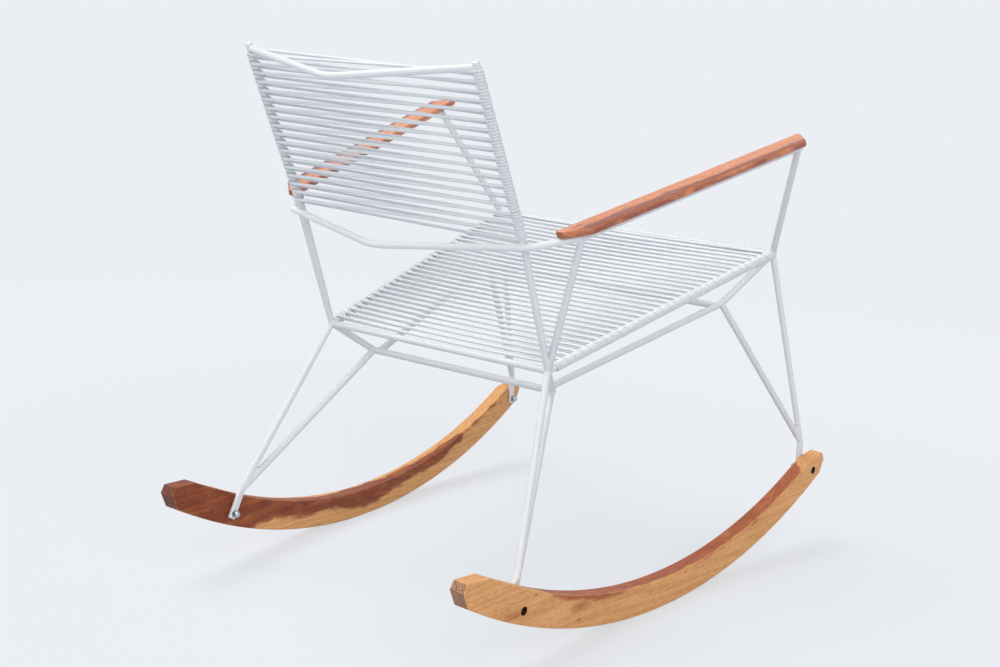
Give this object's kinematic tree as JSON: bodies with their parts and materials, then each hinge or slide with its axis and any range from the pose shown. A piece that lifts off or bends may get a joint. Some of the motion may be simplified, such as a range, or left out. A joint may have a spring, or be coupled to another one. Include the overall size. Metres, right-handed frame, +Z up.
{
  "type": "string rocking chair",
  "caption": "Low rocking chair: a welded bar frame with cord wound across seat and back, flat wooden armrests and a pair of curved wooden rockers.",
  "frame": {"origin": "on the floor below the middle of the outline", "axes": "+Z up, the chair faces -Y, +X to the sitter's left"},
  "size_m": [0.6928, 0.8842, 0.7571],
  "materials": {
    "white_painted_steel": "satin white paint over welded bar",
    "white_pvc_cord": "smooth extruded cord",
    "oiled_rocker_wood": "hand-cut, oiled, golden brown with dark figure",
    "oiled_armrest_wood": "hand-cut, oiled, red brown",
    "bright_zinc_steel": "bright zinc plate"
  },
  "bodies": {
    "root": {"upright_left": "white_painted_steel", "upright_right": "white_painted_steel", "top_bar": "white_painted_steel", "arm_back_rail": "white_painted_steel", "arm_post_left": "white_painted_steel", "arm_post_right": "white_painted_steel", "arm_strut_left": "white_painted_steel", "arm_strut_right": "white_painted_steel", "seat_rail_left": "white_painted_steel", "seat_rail_right": "white_painted_steel", "seat_bar_rear": "white_painted_steel", "seat_bar_front": "white_painted_steel", "lower_bar_rear": "white_painted_steel", "lower_bar_front": "white_painted_steel", "lower_bar_left": "white_painted_steel", "lower_bar_right": "white_painted_steel", "corner_strut_rear_left": "white_painted_steel", "corner_strut_rear_right": "white_painted_steel", "corner_strut_front_left": "white_painted_steel", "corner_strut_front_right": "white_painted_steel", "leg_outer_rear_left": "white_painted_steel", "leg_outer_rear_right": "white_painted_steel", "leg_outer_front_left": "white_painted_steel", "leg_outer_front_right": "white_painted_steel", "leg_inner_rear_left": "white_painted_steel", "leg_inner_rear_right": "white_painted_steel", "leg_inner_front_left": "white_painted_steel", "leg_inner_front_right": "white_painted_steel", "rocker_left": "oiled_rocker_wood", "rocker_right": "oiled_rocker_wood", "armrest_left": "oiled_armrest_wood", "armrest_right": "oiled_armrest_wood", "rocker_bolt_rear_left": "bright_zinc_steel", "rocker_bolt_rear_right": "bright_zinc_steel", "rocker_bolt_front_left": "bright_zinc_steel", "rocker_bolt_front_right": "bright_zinc_steel", "cap_nut_rear_left": "bright_zinc_steel", "cap_nut_rear_right": "bright_zinc_steel", "cap_nut_front_left": "bright_zinc_steel", "cap_nut_front_right": "bright_zinc_steel", "armrest_screw_1_left": "bright_zinc_steel", "armrest_screw_1_right": "bright_zinc_steel", "armrest_screw_2_left": "bright_zinc_steel", "armrest_screw_2_right": "bright_zinc_steel", "seat_cord": "white_pvc_cord", "back_cord": "white_pvc_cord"}
  },
  "joints": []
}
